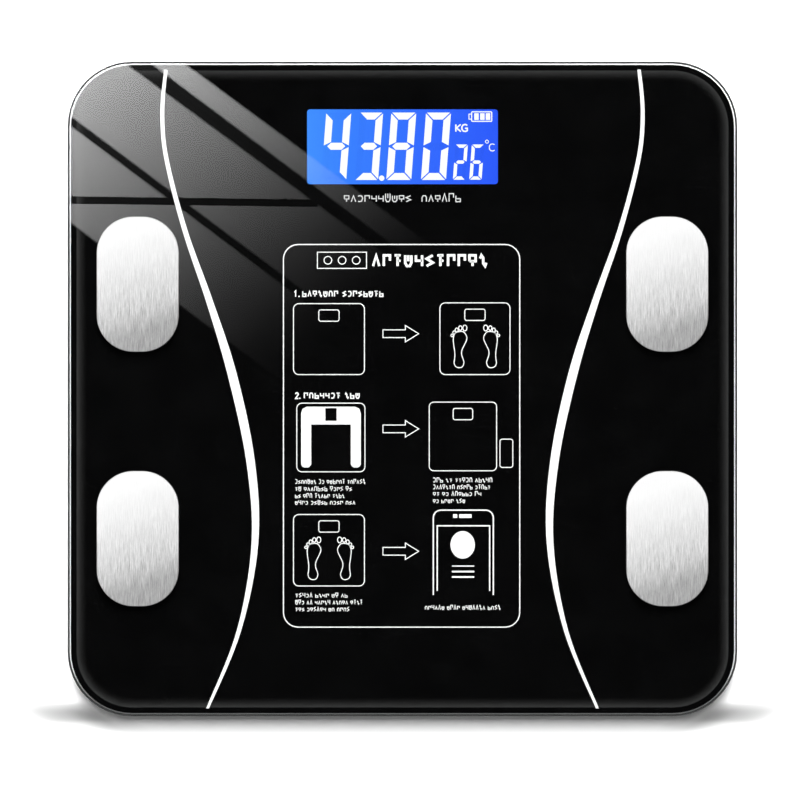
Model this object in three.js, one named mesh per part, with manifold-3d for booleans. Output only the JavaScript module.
// A digital bathroom scale with foot electrodes: a clear glass platform with black print under it, four
// steel electrodes, a backlit display, and a ribbed plastic tray that carries four load cells, each over
// its own foot.
//
// Millimetres, +Z up. The origin is on the floor under the middle of the platform, +Y is the display's
// side, and +X is on the right of someone who stands on the scale and reads the display.

import * as THREE from "three";
import { mergeVertices } from "three/addons/utils/BufferGeometryUtils.js";
import Module from "manifold-3d";

const wasm = await Module();
wasm.setup();

// ---------------------------------------------------------------- driving dimensions

const GAP = 0.05; // between flat faces that rest on each other

// Platform, seen from above
const WIDTH = 260;
const DEPTH = 254.2;
const CORNER_RADIUS = 25;
const CLEAR_MARGIN = 1.05; // unprinted border of the glass
const ARRIS = 0.6; // ground edge of the glass

// Heights above the floor
const TRAY_BOTTOM = 4;
const TRAY_TOP = 16.45;
const TAPE_THICKNESS = 0.6;
const FILM_THICKNESS = 0.2;
const GLASS_THICKNESS = 6;
const ELECTRODE_THICKNESS = 0.6;
const TAPE_BOTTOM = TRAY_TOP + GAP;
const FILM_BOTTOM = TAPE_BOTTOM + TAPE_THICKNESS + GAP;
const GLASS_BOTTOM = FILM_BOTTOM + FILM_THICKNESS + GAP;
const GLASS_TOP = GLASS_BOTTOM + GLASS_THICKNESS;
const SUPPORT_TOP = FILM_BOTTOM - GAP; // what stands under the film reaches this height

// Tray
const TRAY_TOP_INSET = 7; // from the platform's edge to the tray's rim
const TRAY_BOTTOM_INSET = 11;
const CAVITY_INSET = 15;
const FLOOR_THICKNESS = 2;
const FLOOR_TOP = TRAY_BOTTOM + FLOOR_THICKNESS;
const RIB_THICKNESS = 1.6;
const RIB_TOP = 16.9;
const SIDE_RIB_X = 62;
const CROSS_RIB_YS = [-40, 34];
const LOW_RIB_Y = -78; // a shorter rib between the side ribs
const TAPE_INSET = TRAY_TOP_INSET + 1;
const TAPE_WIDTH = 6;
const LABEL = { y: -58, width: 74, depth: 26, radius: 2, thickness: 0.15, recess: 0.3, clearance: 0.3 };

// Electrodes
const ELECTRODE = { width: 31.9, depth: 52.6, radius: 14.3, x: 102.8, upperY: 40.7, lowerY: -58.1 };
const STUD_RADIUS = 1.5;
const STUD_HOLE_RADIUS = 2.4;
const STUD_END = 13.4;
const TERMINAL = { outer: 3.4, hole: 1.8, thickness: 0.8 };
const NUT = { acrossFlats: 5.5, hole: 1.65, thickness: 2.4 };

// Display
const DISPLAY = { y: 94.2, windowWidth: 74.2, windowDepth: 29.1, windowRadius: 1.1 };
const LCD = { width: 79, depth: 33, thickness: 2.8 };
const BACKLIGHT_THICKNESS = 3;
const DISPLAY_FRAME = { width: 83, depth: 34.8, lip: 1 };
const PCB = { width: 96, minY: 52, maxY: 109.5, bottom: 9.4, thickness: 1.6 };
const PCB_TOP = PCB.bottom + PCB.thickness;
const PCB_FIXING = { x: 44.5, screwY: 64, pegY: 84, postRadius: 3, pegRadius: 1.4, hole: 1.6 };
const SCREW = { headRadius: 2.6, headHeight: 1.6, shankRadius: 1, pilotRadius: 1.1 };
const CROSS_RECESS = { length: 2.8, width: 0.7, depth: 0.9 };
const CHIP = { x: -18, y: 64, size: 10, height: 1.4 };
const RADIO = { x: 6, y: 65, width: 14, depth: 11, base: 0.8, canX: 7.5, can: 9, canTop: 2.2 };
const CRYSTAL = { x: -3, y: 56.5, width: 8, depth: 3.4, height: 2.8 };
const CAPACITOR = { x: 24, y: 66, radius: 2.5, height: 4.8, shoulder: 0.4 };

// Feet and load cells
const FOOT = { x: 93, y: 90, radius: 19.4, height: 5.8, bottom: 1, wall: 2.2, web: 3.6, boss: 4 };
const FOOT_LEG = { width: 5, thickness: 1.2, gap: 0.6, barb: 1.2, play: 0.65 };
const PAD = { radius: 16.4, thickness: 1.8 };
const WELL = { inner: 21, outer: 23, plateBottom: 6.6, plateTop: 8, hole: 11 };
const CELL = { size: 34, bottom: 10.45, thickness: 2.6, border: 5, slot: 2 };
const GAUGE = { width: 12, depth: 6, inset: 2.5, height: 0.9 };
const CELL_RING = { outer: 34, inner: 27 };
const CARRIER = { size: 40, radius: 5, pocket: 34.8, window: 28, bottom: WELL.plateTop + GAP };

// Battery compartment, door and button
const BAY = { y: -2, length: 53, depth: 25, wall: 4, ceiling: 16.3 };
const DOOR = { length: 56.2, depth: 28.2, thickness: 1.5, clearance: 0.4, slitX: 7, ribX: 21 };
const DOOR_HOOK = { x: 18, width: 6, height: 1.6 };
const DOOR_CATCH = { width: 10, height: 2.6, barbWidth: 8, barbHeight: 0.8 };
const DOOR_EDGE_Y = BAY.y + DOOR.depth / 2; // hooked edge, which the door turns about
const DOOR_LATCH_Y = BAY.y - DOOR.depth / 2;
const CELL_AAA = { radius: 5.25, length: 44.5, nubRadius: 1.9, nubLength: 1.2, pitch: 11.8, z: 10.9 };
const CONTACT = { width: 9, height: 8.4, thickness: 0.4, nub: 0.5, nubRadius: 2 };
const SPRING = { radius: 3, taper: 0.35, wireRadius: 0.3, turns: 3, stepsPerTurn: 10 };
const BUTTON = { x: 32, y: 61, radius: 4.5, flangeRadius: 6, bottom: 4.1, flangeBottom: 6.1, top: 6.7 };
const SWITCH = { size: 6, bottom: 7.3, hole: 1.95, plunger: 1.75, plungerTop: 8 };

// Leads
const LEAD_RADIUS = 0.8;
const LEAD_SIDES = 6;
const LEAD_Z = FLOOR_TOP + LEAD_RADIUS + 0.6;
const NOTCH_TOP = 9; // of the gaps that let leads through the ribs
const LANE = { electrodeUpper: 50, electrodeLower: 46.5, cellLower: 42, negative: 37.5, positive: 34 };
const CELL_LANE_Y = 62;
const SOLDER_ROW_Y = PCB.minY + 2;
const SOLDER_PITCH = 3.5;
const OUTER_SOLDER_X = 46;
const SOLDER_Z = PCB.bottom - 0.2; // a lead ends just under the board

const CORNERS = [
  { name: "upper_left", sx: -1, sy: 1, electrodeY: ELECTRODE.upperY },
  { name: "upper_right", sx: 1, sy: 1, electrodeY: ELECTRODE.upperY },
  { name: "lower_left", sx: -1, sy: -1, electrodeY: ELECTRODE.lowerY },
  { name: "lower_right", sx: 1, sy: -1, electrodeY: ELECTRODE.lowerY },
];

const material = (color, roughness, metalness) =>
  new THREE.MeshStandardMaterial({ color, roughness, metalness });

const MATERIALS = {
  glass: new THREE.MeshStandardMaterial({
    color: 0xdfe9e6,
    roughness: 0.03,
    metalness: 0,
    transparent: true,
    opacity: 0.35,
  }),
  print: material(0x0a0a0a, 0.25, 0),
  steel: material(0xc9c9cb, 0.35, 1),
  tray: material(0x17181a, 0.6, 0),
  foot: material(0x202124, 0.55, 0),
  rubber: material(0x2b2b2d, 0.9, 0),
  foam: material(0xe9e7e0, 0.9, 0),
  lcd: material(0x2f74ff, 0.15, 0),
  lightGuide: material(0xf2f5ff, 0.4, 0),
  board: material(0x1d5a34, 0.5, 0),
  chip: material(0x141414, 0.5, 0),
  zinc: material(0xb9bcc0, 0.4, 1),
  carrier: material(0xd9d9d6, 0.6, 0),
  lead: material(0xb3201c, 0.5, 0),
  cell: material(0x2f6f52, 0.4, 0),
  label: material(0xc9ccce, 0.5, 0),
};

const scale = new THREE.Group();

function addPiece(name, geometry, pieceMaterial, x = 0, y = 0, z = 0) {
  const mesh = new THREE.Mesh(geometry, pieceMaterial);
  mesh.name = name;
  mesh.position.set(x, y, z);
  scale.add(mesh);
  return mesh;
}

// ---------------------------------------------------------------- shape helpers

// Rounded rectangle about the origin as a list of points, anticlockwise.
function roundedOutline(width, depth, radius, cornerSteps = 10) {
  const points = [];
  const centres = [
    [1, 1, 0],
    [-1, 1, 90],
    [-1, -1, 180],
    [1, -1, 270],
  ];
  for (const [sx, sy, startDegrees] of centres) {
    for (let i = 0; i <= cornerSteps; i++) {
      const angle = THREE.MathUtils.degToRad(startDegrees + (90 * i) / cornerSteps);
      points.push(
        new THREE.Vector2(
          sx * (width / 2 - radius) + radius * Math.cos(angle),
          sy * (depth / 2 - radius) + radius * Math.sin(angle),
        ),
      );
    }
  }
  return points;
}

// The platform's outline moved inwards.
function platformOutline(inset, cornerSteps) {
  return roundedOutline(WIDTH - 2 * inset, DEPTH - 2 * inset, CORNER_RADIUS - inset, cornerSteps);
}

// A closed solid through convex outlines with equal point counts, each at its own height, lowest first.
function loft(rings) {
  const count = rings[0].points.length;
  const positions = rings.flatMap(({ points, z }) => points.flatMap((p) => [p.x, p.y, z]));
  const index = [];
  for (let ring = 0; ring < rings.length - 1; ring++) {
    for (let i = 0; i < count; i++) {
      const a = ring * count + i;
      const b = ring * count + ((i + 1) % count);
      index.push(a, b, b + count, a, b + count, a + count);
    }
  }
  const top = (rings.length - 1) * count;
  for (let i = 1; i < count - 1; i++) {
    index.push(0, i + 1, i);
    index.push(top, top + i, top + i + 1);
  }
  const geometry = new THREE.BufferGeometry();
  geometry.setAttribute("position", new THREE.Float32BufferAttribute(positions, 3));
  geometry.setIndex(index);
  return geometry;
}

// A plate between two heights whose top and bottom edges are ground back by `edge`.
function bevelledPlate(width, depth, radius, bottom, top, edge, cornerSteps) {
  const outer = roundedOutline(width, depth, radius, cornerSteps);
  const inner = roundedOutline(width - 2 * edge, depth - 2 * edge, radius - edge, cornerSteps);
  return loft([
    { points: inner, z: bottom },
    { points: outer, z: bottom + edge },
    { points: outer, z: top - edge },
    { points: inner, z: top },
  ]);
}

// A straight-sided plate of an outline, with other outlines cut through it.
function plate(outline, bottom, top, holes = []) {
  const shape = new THREE.Shape(outline);
  shape.holes = holes.map((points) => new THREE.Path(points));
  const geometry = new THREE.ExtrudeGeometry(shape, { depth: top - bottom, bevelEnabled: false });
  return geometry.translate(0, 0, bottom);
}

function circleOutline(radius, steps, x = 0, y = 0) {
  return Array.from({ length: steps }, (_, i) => {
    const angle = (2 * Math.PI * i) / steps;
    return new THREE.Vector2(x + radius * Math.cos(angle), y + radius * Math.sin(angle));
  });
}

const moved = (points, x, y) => points.map((p) => new THREE.Vector2(p.x + x, p.y + y));

function rod(radius, bottom, top, steps = 24, x = 0, y = 0) {
  return plate(circleOutline(radius, steps, x, y), bottom, top);
}

function block(minX, maxX, minY, maxY, minZ, maxZ) {
  return new THREE.BoxGeometry(maxX - minX, maxY - minY, maxZ - minZ).translate(
    (minX + maxX) / 2,
    (minY + maxY) / 2,
    (minZ + maxZ) / 2,
  );
}

// A block given by its middle and size in plan.
const centredBlock = (x, y, width, depth, minZ, maxZ) =>
  block(x - width / 2, x + width / 2, y - depth / 2, y + depth / 2, minZ, maxZ);

// A solid of revolution about +Z from [radius, height] pairs that start and end on the axis, lowest first.
function turned(profile, steps) {
  const points = profile.map(([radius, height]) => new THREE.Vector2(radius, height));
  return new THREE.LatheGeometry(points, steps).rotateX(Math.PI / 2);
}

// A round lead along a smooth curve through points.
function lead(points, radius = LEAD_RADIUS, steps = 18, sides = LEAD_SIDES) {
  const path = new THREE.CatmullRomCurve3(
    points.map(([x, y, z]) => new THREE.Vector3(x, y, z)),
    false,
    "centripetal",
  );
  const section = new THREE.Shape(circleOutline(radius, sides));
  return new THREE.ExtrudeGeometry(section, { steps, extrudePath: path, bevelEnabled: false });
}

// The last points of a lead, which turns up to the circuit board from its +Y-going run.
function solderEnd(x, y) {
  return [
    [x, y - 3, LEAD_Z],
    [x, y - 0.3, SOLDER_Z - 1.2],
    [x, y, SOLDER_Z],
  ];
}

// ---------------------------------------------------------------- joins and cuts

function solidOf(geometry) {
  const bare = geometry.clone();
  bare.deleteAttribute("normal");
  bare.deleteAttribute("uv");
  const merged = mergeVertices(bare, 1e-4);
  return new wasm.Manifold(
    new wasm.Mesh({
      numProp: 3,
      vertProperties: merged.attributes.position.array,
      triVerts: new Uint32Array(merged.index.array),
    }),
  );
}

function geometryOf(solid) {
  const { vertProperties, triVerts } = solid.getMesh();
  const geometry = new THREE.BufferGeometry();
  geometry.setAttribute("position", new THREE.BufferAttribute(new Float32Array(vertProperties), 3));
  geometry.setIndex(new THREE.BufferAttribute(new Uint32Array(triVerts), 1));
  geometry.computeVertexNormals();
  return geometry;
}

const joined = (geometries) =>
  geometryOf(geometries.map(solidOf).reduce((whole, next) => whole.add(next)));

const cut = (geometry, cutters) =>
  geometryOf(cutters.map(solidOf).reduce((whole, next) => whole.subtract(next), solidOf(geometry)));

// ---------------------------------------------------------------- platform

const studHoles = (steps) =>
  CORNERS.map(({ sx, electrodeY }) =>
    circleOutline(STUD_HOLE_RADIUS, steps, sx * ELECTRODE.x, electrodeY),
  );

function buildPlatform() {
  const slab = bevelledPlate(WIDTH, DEPTH, CORNER_RADIUS, GLASS_BOTTOM, GLASS_TOP, ARRIS, 12);
  const drills = studHoles(16).map((outline) => plate(outline, GLASS_BOTTOM - 1, GLASS_TOP + 1));
  addPiece("glass_platform", cut(slab, drills), MATERIALS.glass);

  const window = moved(
    roundedOutline(DISPLAY.windowWidth, DISPLAY.windowDepth, DISPLAY.windowRadius, 3),
    0,
    DISPLAY.y,
  );
  const film = plate(platformOutline(CLEAR_MARGIN, 12), FILM_BOTTOM, FILM_BOTTOM + FILM_THICKNESS, [
    window,
    ...studHoles(12),
  ]);
  addPiece("print_film", film, MATERIALS.print);

  const tape = plate(platformOutline(TAPE_INSET, 8), TAPE_BOTTOM, TAPE_BOTTOM + TAPE_THICKNESS, [
    platformOutline(TAPE_INSET + TAPE_WIDTH, 8),
  ]);
  addPiece("bonding_tape", tape, MATERIALS.foam);
}

// ---------------------------------------------------------------- electrodes

function buildElectrode({ name, sx, electrodeY }) {
  const x = sx * ELECTRODE.x;
  const bottom = GLASS_TOP + GAP;
  const top = bottom + ELECTRODE_THICKNESS;
  const pad = bevelledPlate(
    ELECTRODE.width,
    ELECTRODE.depth,
    ELECTRODE.radius,
    bottom,
    top,
    ELECTRODE_THICKNESS / 3,
    9,
  );
  const stud = rod(STUD_RADIUS, STUD_END, bottom + ELECTRODE_THICKNESS / 2, 12);
  addPiece(`electrode_${name}`, joined([pad, stud]), MATERIALS.steel, x, electrodeY);

  const terminalTop = FILM_BOTTOM - GAP;
  const terminalBottom = terminalTop - TERMINAL.thickness;
  const nutTop = terminalBottom - GAP;
  const hexagon = circleOutline(NUT.acrossFlats / Math.sqrt(3), 6);
  const nut = plate(hexagon, nutTop - NUT.thickness, nutTop, [circleOutline(NUT.hole, 12)]).rotateZ(
    Math.PI / 6,
  );
  addPiece(`electrode_nut_${name}`, nut, MATERIALS.zinc, x, electrodeY);

  // A crimped ring terminal and its lead, which runs inwards over the tray's floor and up to the board.
  const ring = plate(circleOutline(TERMINAL.outer, 18), terminalBottom, terminalTop, [
    circleOutline(TERMINAL.hole, 12),
  ]).translate(x, electrodeY, 0);
  const barrelZ = terminalTop - LEAD_RADIUS - 0.1;
  const isUpper = electrodeY > 0;
  const lane = sx * (isUpper ? LANE.electrodeUpper : LANE.electrodeLower);
  const solderX = sx * (OUTER_SOLDER_X - (isUpper ? 0 : SOLDER_PITCH));
  const route = [
    [x - sx * (TERMINAL.outer - 0.4), electrodeY, barrelZ],
    [x - sx * 7, electrodeY, barrelZ],
    [x - sx * 14, electrodeY, LEAD_Z + 1],
    [x - sx * 20, electrodeY, LEAD_Z],
    [lane + sx * 4, electrodeY, LEAD_Z],
    [lane, electrodeY + 4, LEAD_Z],
    ...(isUpper ? [] : [[lane, SOLDER_ROW_Y - 14, LEAD_Z]]),
    ...solderEnd(solderX, SOLDER_ROW_Y),
  ];
  addPiece(`electrode_lead_${name}`, joined([ring, lead(route)]), MATERIALS.lead);
}

// ---------------------------------------------------------------- feet and load cells

// The foot hangs in its well by four clip legs, which leave it a little play under the load cell.
function footGeometry() {
  const dish = turned(
    [
      [0, PAD.thickness + GAP],
      [PAD.radius + 0.2, PAD.thickness + GAP],
      [PAD.radius + 0.2, FOOT.bottom],
      [FOOT.radius - 0.8, FOOT.bottom],
      [FOOT.radius, FOOT.bottom + 0.8],
      [FOOT.radius, FOOT.height - 0.6],
      [FOOT.radius - 0.6, FOOT.height],
      [FOOT.radius - FOOT.wall, FOOT.height],
      [FOOT.radius - FOOT.wall, FOOT.web],
      [FOOT.boss, FOOT.web],
      [FOOT.boss, CELL.bottom - GAP],
      [0, CELL.bottom - GAP],
    ],
    24,
  );
  const half = FOOT_LEG.width / 2;
  const outside = WELL.hole - FOOT_LEG.gap;
  const inside = outside - FOOT_LEG.thickness;
  const middle = (inside + outside) / 2;
  const barbBottom = WELL.plateTop + FOOT_LEG.play;
  const barbTop = barbBottom + FOOT_LEG.barb;
  const legs = [0, 90, 180, 270].flatMap((degrees) => {
    const turn = (geometry) => geometry.rotateZ(THREE.MathUtils.degToRad(degrees));
    return [
      turn(block(inside, outside, -half, half, FOOT.web - 0.4, barbTop)),
      turn(block(middle, WELL.hole + FOOT_LEG.barb, -half, half, barbBottom, barbTop)),
    ];
  });
  return joined([dish, ...legs]);
}

function padGeometry() {
  return turned(
    [
      [0, 0],
      [PAD.radius - 0.5, 0],
      [PAD.radius, 0.5],
      [PAD.radius, PAD.thickness],
      [0, PAD.thickness],
    ],
    24,
  );
}

// Spring-steel plate: a frame with a tongue that the foot pushes up, and the coated strain gauge at its root.
function loadCellGeometry() {
  const half = CELL.size / 2 - CELL.border;
  const slot = CELL.slot;
  const tongueSlot = [
    [-half, -half],
    [half, -half],
    [half, half],
    [half - slot, half],
    [half - slot, -half + slot],
    [-half + slot, -half + slot],
    [-half + slot, half],
    [-half, half],
  ].map(([x, y]) => new THREE.Vector2(x, y));
  const top = CELL.bottom + CELL.thickness;
  const steel = plate(roundedOutline(CELL.size, CELL.size, 2, 3), CELL.bottom, top, [tongueSlot]);
  const gauge = centredBlock(0, half - GAUGE.inset, GAUGE.width, GAUGE.depth, top - 0.2, top + GAUGE.height);
  return joined([steel, gauge]);
}

function carrierGeometry() {
  const body = plate(
    roundedOutline(CARRIER.size, CARRIER.size, CARRIER.radius, 3),
    CARRIER.bottom,
    SUPPORT_TOP,
  );
  const ledge = CELL.bottom + CELL.thickness + GAP;
  return cut(body, [
    centredBlock(0, 0, CARRIER.pocket, CARRIER.pocket, CARRIER.bottom - 1, ledge),
    centredBlock(0, 0, CARRIER.window, CARRIER.window, ledge - 1, SUPPORT_TOP + 1),
    block(-2.5, 2.5, 0, CARRIER.size, ledge - 1, ledge + 3),
  ]);
}

// The cell's three wires run as one bundle, from its gauge inwards to the circuit board.
function cellLeadRoute({ sx, sy }) {
  const overCell = CELL.bottom + CELL.thickness + 1.8;
  const start = [
    [sx * FOOT.x, sy * (FOOT.y - 9), overCell],
    [sx * FOOT.x, sy * (FOOT.y - 19), overCell],
    [sx * (FOOT.x - 1), sy * (FOOT.y - 25), LEAD_Z + 2.5],
    [sx * (FOOT.x - 7), sy * CELL_LANE_Y, LEAD_Z],
  ];
  if (sy > 0) {
    return [
      ...start,
      [sx * 54, CELL_LANE_Y, LEAD_Z],
      ...solderEnd(sx * (PCB.width / 2 - 2), CELL_LANE_Y + 9),
    ];
  }
  const solderX = sx * (OUTER_SOLDER_X - 2 * SOLDER_PITCH);
  return [
    ...start,
    [sx * (LANE.cellLower + 5), -CELL_LANE_Y, LEAD_Z],
    [sx * LANE.cellLower, -CELL_LANE_Y + 6, LEAD_Z],
    [sx * LANE.cellLower, SOLDER_ROW_Y - 14, LEAD_Z],
    ...solderEnd(solderX, SOLDER_ROW_Y),
  ];
}

function buildFootStation(corner) {
  const { name, sx, sy } = corner;
  const x = sx * FOOT.x;
  const y = sy * FOOT.y;
  addPiece(`foot_cup_${name}`, footGeometry(), MATERIALS.foot, x, y);
  addPiece(`foot_pad_${name}`, padGeometry(), MATERIALS.rubber, x, y);
  const towardsMiddle = sy > 0 ? Math.PI : 0;
  addPiece(`load_cell_${name}`, loadCellGeometry().rotateZ(towardsMiddle), MATERIALS.zinc, x, y);
  addPiece(`load_cell_carrier_${name}`, carrierGeometry().rotateZ(towardsMiddle), MATERIALS.carrier, x, y);
  addPiece(`load_cell_lead_${name}`, lead(cellLeadRoute(corner)), MATERIALS.lead);
}

// ---------------------------------------------------------------- tray

function buildTray() {
  const shell = loft([
    { points: platformOutline(TRAY_BOTTOM_INSET + 0.8, 12), z: TRAY_BOTTOM },
    { points: platformOutline(TRAY_BOTTOM_INSET, 12), z: TRAY_BOTTOM + 0.8 },
    { points: platformOutline(TRAY_TOP_INSET, 12), z: TRAY_TOP - 1.2 },
    { points: platformOutline(TRAY_TOP_INSET, 12), z: TRAY_TOP },
  ]);
  const cavity = plate(platformOutline(CAVITY_INSET, 8), FLOOR_TOP, TRAY_TOP + 1);
  const hollow = cut(shell, [cavity]);

  const reachX = WIDTH / 2 - CAVITY_INSET + 1;
  const reachY = DEPTH / 2 - CAVITY_INSET + 1;
  const rib = RIB_THICKNESS / 2;
  const sideRibs = [-1, 1].map((side) =>
    block(side * SIDE_RIB_X - rib, side * SIDE_RIB_X + rib, -reachY, reachY, FLOOR_TOP - 1, RIB_TOP),
  );
  const crossRibs = CROSS_RIB_YS.map((y) =>
    block(-reachX, reachX, y - rib, y + rib, FLOOR_TOP - 1, RIB_TOP),
  );
  const lowRib = centredBlock(0, LOW_RIB_Y, 2 * SIDE_RIB_X, RIB_THICKNESS, FLOOR_TOP - 1, RIB_TOP);
  const wells = CORNERS.map(({ sx, sy }) =>
    rod(WELL.outer, TRAY_BOTTOM, WELL.plateTop, 28, sx * FOOT.x, sy * FOOT.y),
  );
  const cellRings = CORNERS.map(({ sx, sy }) =>
    centredBlock(
      sx * FOOT.x,
      sy * FOOT.y,
      CELL_RING.outer,
      CELL_RING.outer,
      WELL.plateTop - 0.5,
      CELL.bottom - GAP,
    ),
  );
  const bay = centredBlock(
    0,
    BAY.y,
    BAY.length + 2 * BAY.wall,
    BAY.depth + 2 * BAY.wall,
    TRAY_BOTTOM,
    RIB_TOP,
  );
  const boardSupports = [-1, 1].flatMap((side) => [
    rod(PCB_FIXING.postRadius, FLOOR_TOP - 1, PCB.bottom - GAP, 16, side * PCB_FIXING.x, PCB_FIXING.screwY),
    rod(PCB_FIXING.postRadius, FLOOR_TOP - 1, PCB.bottom - GAP, 16, side * PCB_FIXING.x, PCB_FIXING.pegY),
    rod(PCB_FIXING.pegRadius, FLOOR_TOP - 1, PCB_TOP + 1.2, 12, side * PCB_FIXING.x, PCB_FIXING.pegY),
  ]);
  const solid = joined([
    hollow,
    ...sideRibs,
    ...crossRibs,
    lowRib,
    ...wells,
    ...cellRings,
    bay,
    ...boardSupports,
  ]);

  const footOpenings = CORNERS.flatMap(({ sx, sy }) => {
    const x = sx * FOOT.x;
    const y = sy * FOOT.y;
    return [
      rod(WELL.inner, TRAY_BOTTOM - 1, WELL.plateBottom, 28, x, y),
      rod(WELL.hole, WELL.plateBottom - 1, CELL.bottom + 1, 20, x, y),
      centredBlock(x, y, CELL_RING.inner, CELL_RING.inner, WELL.plateTop, RIB_TOP + 1),
    ];
  });
  const notch = (x, y, width, depth) => centredBlock(x, y, width, depth, FLOOR_TOP, NOTCH_TOP);
  const leadNotches = [-1, 1].flatMap((side) => [
    notch(side * SIDE_RIB_X, ELECTRODE.upperY, 4, 5),
    notch(side * SIDE_RIB_X, CELL_LANE_Y, 4, 5),
    notch(side * SIDE_RIB_X, (ELECTRODE.lowerY - CELL_LANE_Y) / 2, 4, 9),
    ...CROSS_RIB_YS.map((y) => notch(side * 41, y, 24, 4)),
  ]);
  const contactExits = [-1, 1].map((side) =>
    centredBlock(BAY.length / 2 + BAY.wall / 2, batteryY(side), BAY.wall + 2, 2.4, 11.5, 14.5),
  );
  const baySpace = centredBlock(0, BAY.y, BAY.length, BAY.depth, TRAY_BOTTOM - 1, BAY.ceiling);
  const doorRebate = centredBlock(
    0,
    BAY.y,
    DOOR.length + 2 * DOOR.clearance,
    DOOR.depth + 2 * DOOR.clearance,
    TRAY_BOTTOM - 1,
    TRAY_BOTTOM + DOOR.thickness + 0.1,
  );
  const hookSlots = [-1, 1].map((side) =>
    centredBlock(side * DOOR_HOOK.x, DOOR_EDGE_Y - 0.3, 9, 4.4, TRAY_BOTTOM + DOOR.thickness, 8.6),
  );
  const latchSlot = centredBlock(0, DOOR_LATCH_Y + 1.2, 10, 1.2, 6.9, 8.4);
  const fingerScoop = rod(8, TRAY_BOTTOM - 1, TRAY_BOTTOM + 1.1, 24, 0, DOOR_LATCH_Y - 1);
  const buttonHole = rod(BUTTON.radius + 0.3, TRAY_BOTTOM - 1, FLOOR_TOP + 1, 20, BUTTON.x, BUTTON.y);
  const screwHoles = [-1, 1].map((side) =>
    rod(SCREW.pilotRadius, FLOOR_TOP + 0.5, PCB.bottom + 1, 10, side * PCB_FIXING.x, PCB_FIXING.screwY),
  );
  const labelRecess = centredBlock(
    0,
    LABEL.y,
    LABEL.width + 2 * LABEL.clearance,
    LABEL.depth + 2 * LABEL.clearance,
    TRAY_BOTTOM - 1,
    TRAY_BOTTOM + LABEL.recess,
  );
  const tray = cut(solid, [
    ...footOpenings,
    ...leadNotches,
    ...contactExits,
    baySpace,
    doorRebate,
    ...hookSlots,
    latchSlot,
    fingerScoop,
    buttonHole,
    ...screwHoles,
    labelRecess,
  ]);
  addPiece("base_tray", tray, MATERIALS.tray);

  const labelTop = TRAY_BOTTOM + LABEL.recess - GAP;
  const labelOutline = moved(roundedOutline(LABEL.width, LABEL.depth, LABEL.radius, 3), 0, LABEL.y);
  addPiece("rating_label", plate(labelOutline, labelTop - LABEL.thickness, labelTop), MATERIALS.label);
}

// ---------------------------------------------------------------- display and circuit board

function buildDisplay() {
  const lcdTop = SUPPORT_TOP - GAP;
  const lcdBottom = lcdTop - LCD.thickness;
  const backlightTop = lcdBottom - GAP;
  const backlightBottom = backlightTop - BACKLIGHT_THICKNESS;
  const glassPair = joined([
    centredBlock(0, 0, LCD.width, LCD.depth, lcdBottom + LCD.thickness / 2, lcdTop),
    centredBlock(0, 1, LCD.width, LCD.depth - 2, lcdBottom, lcdBottom + LCD.thickness / 2 + 0.1),
  ]);
  addPiece("lcd_panel", glassPair, MATERIALS.lcd, 0, DISPLAY.y);

  const lightGuide = centredBlock(0, 1, LCD.width - 3, LCD.depth - 4, backlightBottom, backlightTop);
  const ledBar = block(LCD.width / 2 - 3, LCD.width / 2 - 0.5, -8, 8, backlightBottom, backlightTop);
  addPiece("lcd_backlight", joined([lightGuide, ledBar]), MATERIALS.lightGuide, 0, DISPLAY.y);

  const frameBottom = PCB_TOP + GAP;
  const outer = roundedOutline(DISPLAY_FRAME.width, DISPLAY_FRAME.depth, 2, 3);
  const pocket = roundedOutline(LCD.width + 0.6, LCD.depth + 0.6, 0.5, 2);
  const frame = plate(outer, frameBottom, SUPPORT_TOP, [pocket]);
  addPiece("lcd_frame", frame, MATERIALS.carrier, 0, DISPLAY.y);

  // The elastomer strip that joins the panel's bottom edge to the board.
  const strip = block(-30, 30, -LCD.depth / 2 + 0.1, -LCD.depth / 2 + 0.9, frameBottom, lcdBottom + 1.3);
  addPiece("zebra_strip", strip, MATERIALS.rubber, 0, DISPLAY.y);
}

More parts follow.
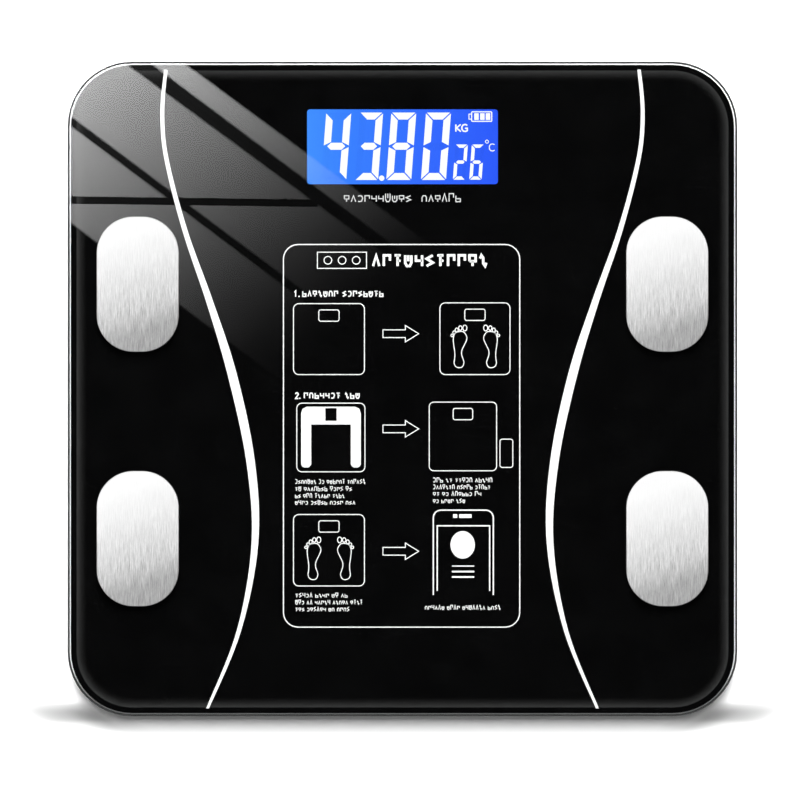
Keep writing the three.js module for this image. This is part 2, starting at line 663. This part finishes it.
function buildBoard() {
  const middleY = (PCB.minY + PCB.maxY) / 2;
  const board = plate(
    moved(roundedOutline(PCB.width, PCB.maxY - PCB.minY, 2, 3), 0, middleY),
    PCB.bottom,
    PCB_TOP,
    [-1, 1].flatMap((side) => [
      circleOutline(PCB_FIXING.hole, 12, side * PCB_FIXING.x, PCB_FIXING.screwY),
      circleOutline(PCB_FIXING.hole, 12, side * PCB_FIXING.x, PCB_FIXING.pegY),
    ]),
  );
  addPiece("main_pcb", board, MATERIALS.board);

  const seat = PCB_TOP + GAP;
  const chip = centredBlock(CHIP.x, CHIP.y, CHIP.size, CHIP.size, seat, seat + CHIP.height);
  addPiece("scale_controller_chip", chip, MATERIALS.chip);
  const radio = joined([
    centredBlock(RADIO.x, RADIO.y, RADIO.width, RADIO.depth, seat, seat + RADIO.base),
    centredBlock(RADIO.canX, RADIO.y, RADIO.can, RADIO.can, seat + RADIO.base / 2, seat + RADIO.canTop),
  ]);
  addPiece("radio_module", radio, MATERIALS.zinc);
  const canOutline = roundedOutline(CRYSTAL.width, CRYSTAL.depth, CRYSTAL.depth / 2 - 0.1, 4);
  const crystal = plate(canOutline, seat, seat + CRYSTAL.height);
  addPiece("crystal_can", crystal, MATERIALS.zinc, CRYSTAL.x, CRYSTAL.y);
  const capacitor = turned(
    [
      [0, seat],
      [CAPACITOR.radius, seat],
      [CAPACITOR.radius, seat + CAPACITOR.height - CAPACITOR.shoulder],
      [CAPACITOR.radius - CAPACITOR.shoulder, seat + CAPACITOR.height],
      [0, seat + CAPACITOR.height],
    ],
    16,
  );
  addPiece("supply_capacitor", capacitor, MATERIALS.chip, CAPACITOR.x, CAPACITOR.y);

  for (const side of [-1, 1]) {
    const headTop = seat + SCREW.headHeight;
    const head = rod(SCREW.headRadius, seat, headTop, 16);
    const shank = rod(SCREW.shankRadius, FLOOR_TOP + 1, seat + SCREW.headHeight / 3, 10);
    const recess = [0, 90].map((degrees) =>
      centredBlock(0, 0, CROSS_RECESS.length, CROSS_RECESS.width, headTop - CROSS_RECESS.depth, headTop + 1)
        .rotateZ(THREE.MathUtils.degToRad(degrees)),
    );
    addPiece(
      `pcb_screw_${side < 0 ? "left" : "right"}`,
      cut(joined([head, shank]), recess),
      MATERIALS.zinc,
      side * PCB_FIXING.x,
      PCB_FIXING.screwY,
    );
  }
}

// ---------------------------------------------------------------- unit button and its switch

function buildButton() {
  const cap = rod(BUTTON.radius, BUTTON.bottom + 0.3, BUTTON.flangeBottom + 0.1, 24);
  const crown = loft([
    { points: circleOutline(BUTTON.radius - 0.3, 24), z: BUTTON.bottom },
    { points: circleOutline(BUTTON.radius, 24), z: BUTTON.bottom + 0.3 + 0.1 },
  ]);
  const flange = rod(BUTTON.flangeRadius, BUTTON.flangeBottom, BUTTON.top, 24);
  addPiece("unit_button", joined([crown, cap, flange]), MATERIALS.foot, BUTTON.x, BUTTON.y);

  const body = cut(
    centredBlock(0, 0, SWITCH.size, SWITCH.size, SWITCH.bottom, PCB.bottom - GAP),
    [rod(SWITCH.hole, SWITCH.bottom - 1, SWITCH.plungerTop + 0.7, 16)],
  );
  addPiece("unit_switch_body", body, MATERIALS.chip, BUTTON.x, BUTTON.y);
  const plunger = rod(SWITCH.plunger, BUTTON.top + GAP, SWITCH.plungerTop, 16);
  addPiece("unit_switch_plunger", plunger, MATERIALS.carrier, BUTTON.x, BUTTON.y);
}

// ---------------------------------------------------------------- batteries, contacts and door

function springAlongX(fromX, toX, y) {
  const count = SPRING.turns * SPRING.stepsPerTurn;
  const points = Array.from({ length: count + 1 }, (_, i) => {
    const angle = (2 * Math.PI * SPRING.turns * i) / count;
    const radius = SPRING.radius * (1 - (SPRING.taper * i) / count);
    return [
      fromX + ((toX - fromX) * i) / count,
      y + radius * Math.cos(angle),
      CELL_AAA.z + radius * Math.sin(angle),
    ];
  });
  return lead(points, SPRING.wireRadius, count, 5);
}

const batteryY = (side) => BAY.y + (side * CELL_AAA.pitch) / 2;

function buildBatteries() {
  const room = BAY.length / 2 - 0.1;
  const face = room - CONTACT.thickness;
  const topTip = face - CONTACT.nub - GAP;
  const negativeEnd = topTip - CELL_AAA.length;
  const springLength = face + negativeEnd;
  const lowY = batteryY(-1);
  const highY = batteryY(1);

  const barrel = CELL_AAA.length - CELL_AAA.nubLength;
  const profile = [
    [0, 0],
    [CELL_AAA.radius - 0.5, 0],
    [CELL_AAA.radius, 0.5],
    [CELL_AAA.radius, barrel - 0.6],
    [CELL_AAA.radius - 0.6, barrel],
    [CELL_AAA.nubRadius, barrel],
    [CELL_AAA.nubRadius, CELL_AAA.length],
    [0, CELL_AAA.length],
  ];
  const towardsPlusX = turned(profile, 16).rotateY(Math.PI / 2).translate(negativeEnd, 0, 0);
  const towardsMinusX = turned(profile, 16).rotateY(-Math.PI / 2).translate(-negativeEnd, 0, 0);
  addPiece("battery_cell_1", towardsPlusX, MATERIALS.cell, 0, highY, CELL_AAA.z);
  addPiece("battery_cell_2", towardsMinusX, MATERIALS.cell, 0, lowY, CELL_AAA.z);

  const plateHeight = [CELL_AAA.z - CONTACT.height / 2, CELL_AAA.z + CONTACT.height / 2];
  const halfWidth = CONTACT.width / 2;
  const springEnd = springLength - SPRING.wireRadius - 0.1;
  const nubAt = (side, y) =>
    rod(CONTACT.nubRadius, face - CONTACT.nub, face + 0.2, 12)
      .rotateY((side * Math.PI) / 2)
      .translate(0, y, CELL_AAA.z);
  const plateAt = (side, y) =>
    block(
      Math.min(side * face, side * room),
      Math.max(side * face, side * room),
      y - halfWidth,
      y + halfWidth,
      ...plateHeight,
    );
  const springAt = (side, y) =>
    springAlongX(side * (face + 0.05), side * (face - springEnd), y);
  const link = block(-room, -face, lowY - halfWidth, highY + halfWidth, ...plateHeight);
  addPiece("contact_link", joined([link, nubAt(-1, lowY), springAt(-1, highY)]), MATERIALS.zinc);
  addPiece("contact_positive", joined([plateAt(1, highY), nubAt(1, highY)]), MATERIALS.zinc);
  addPiece("contact_negative", joined([plateAt(1, lowY), springAt(1, lowY)]), MATERIALS.zinc);
}

// Both leads leave the bay through its +X wall.
function buildBatteryLeads() {
  const start = BAY.length / 2;
  const leads = [
    { pole: "positive", y: batteryY(1), lane: LANE.positive, solderX: OUTER_SOLDER_X - 4 * SOLDER_PITCH },
    { pole: "negative", y: batteryY(-1), lane: LANE.negative, solderX: OUTER_SOLDER_X - 3 * SOLDER_PITCH },
  ];
  for (const { pole, y, lane, solderX } of leads) {
    const route = [
      [start, y, 13],
      [start + BAY.wall, y, 13],
      [lane, y + 5, LEAD_Z + 1],
      [lane, y + 12, LEAD_Z],
      [lane, SOLDER_ROW_Y - 14, LEAD_Z],
      ...solderEnd(solderX, SOLDER_ROW_Y),
    ];
    addPiece(`battery_lead_${pole}`, lead(route), MATERIALS.lead);
  }
}

// A flat cover with two hooks on one edge and a catch on the other. It drops open about the hooked edge.
function buildDoor() {
  const top = TRAY_BOTTOM + DOOR.thickness;
  const cover = plate(
    moved(roundedOutline(DOOR.length, DOOR.depth, 1, 3), 0, BAY.y),
    TRAY_BOTTOM,
    top,
  );
  const hookTop = top + DOOR_HOOK.height;
  const hooks = [-1, 1].flatMap((side) => [
    centredBlock(side * DOOR_HOOK.x, DOOR_EDGE_Y - 2.6, DOOR_HOOK.width, 1.4, top - 0.4, hookTop),
    centredBlock(side * DOOR_HOOK.x, DOOR_EDGE_Y - 1, DOOR_HOOK.width, 4.6, hookTop - 1, hookTop),
  ]);
  const catchTop = top + DOOR_CATCH.height;
  const barbBottom = catchTop - DOOR_CATCH.barbHeight;
  const catchWall = centredBlock(0, DOOR_LATCH_Y + 2.9, DOOR_CATCH.width, 1.2, top - 0.4, catchTop);
  const catchBarb = centredBlock(0, DOOR_LATCH_Y + 1.9, DOOR_CATCH.barbWidth, 1.4, barbBottom, catchTop);
  const slits = [-1, 1].map((side) =>
    centredBlock(side * DOOR.slitX, DOOR_LATCH_Y + 3, 0.9, 7, TRAY_BOTTOM - 1, top + 1),
  );
  const ribs = [-1, 1].map((side) =>
    centredBlock(side * DOOR.ribX, BAY.y - 1, 1, 18, top - 0.4, top + 0.1),
  );
  addPiece(
    "battery_door",
    cut(joined([cover, ...hooks, catchWall, catchBarb, ...ribs]), slits),
    MATERIALS.tray,
  );
}

// ---------------------------------------------------------------- the whole object

buildPlatform();
buildTray();
for (const corner of CORNERS) {
  buildElectrode(corner);
  buildFootStation(corner);
}
buildDisplay();
buildBoard();
buildButton();
buildBatteries();
buildBatteryLeads();
buildDoor();

export default scale;
